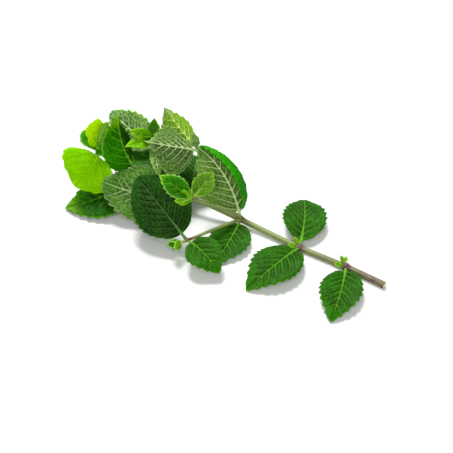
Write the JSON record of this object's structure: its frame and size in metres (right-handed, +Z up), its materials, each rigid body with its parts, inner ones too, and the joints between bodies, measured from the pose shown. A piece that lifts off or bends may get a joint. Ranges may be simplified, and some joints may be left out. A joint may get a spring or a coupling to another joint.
{
  "type": "mint sprig",
  "caption": "Cut sprig of garden mint lying on its side, with a square stem, toothed veined leaves in crossed pairs and short leafy side shoots.",
  "frame": {"origin": "on the surface that the sprig lies on, at the middle of its outline seen from above", "axes": "+X along the stem towards its cut end, so the growing tip is at -X; +Z up, away from the surface"},
  "size_m": [0.2012, 0.0916, 0.0556],
  "materials": {
    "stem": "satin, green flushed with purple-brown",
    "shoot": "satin young green stem and small leaves",
    "leaf": "satin, quilted between pale veins, paler underneath",
    "young_leaf": "satin, thin, bright yellow-green"
  },
  "bodies": {
    "root": {"main_stem": "stem", "leaf_0_low": "leaf", "leaf_1_front": "leaf", "leaf_1_back": "leaf", "leaf_2_top": "leaf", "leaf_2_low": "leaf", "leaf_3_front": "leaf", "leaf_3_back": "leaf", "leaf_4_top": "leaf", "leaf_4_low": "leaf", "leaf_5_front": "young_leaf", "leaf_5_back": "young_leaf", "growing_tip": "young_leaf", "side_shoot_2_low": "shoot", "shoot_2_low_leaf_left": "leaf", "shoot_2_low_leaf_right": "leaf", "side_shoot_2_top": "shoot", "side_shoot_3_front": "shoot", "shoot_3_front_leaf": "leaf", "shoot_3_front_leaf_low": "leaf", "side_shoot_3_back": "shoot", "shoot_3_back_leaf_upper": "leaf", "shoot_3_back_leaf_front": "leaf"}
  },
  "joints": []
}
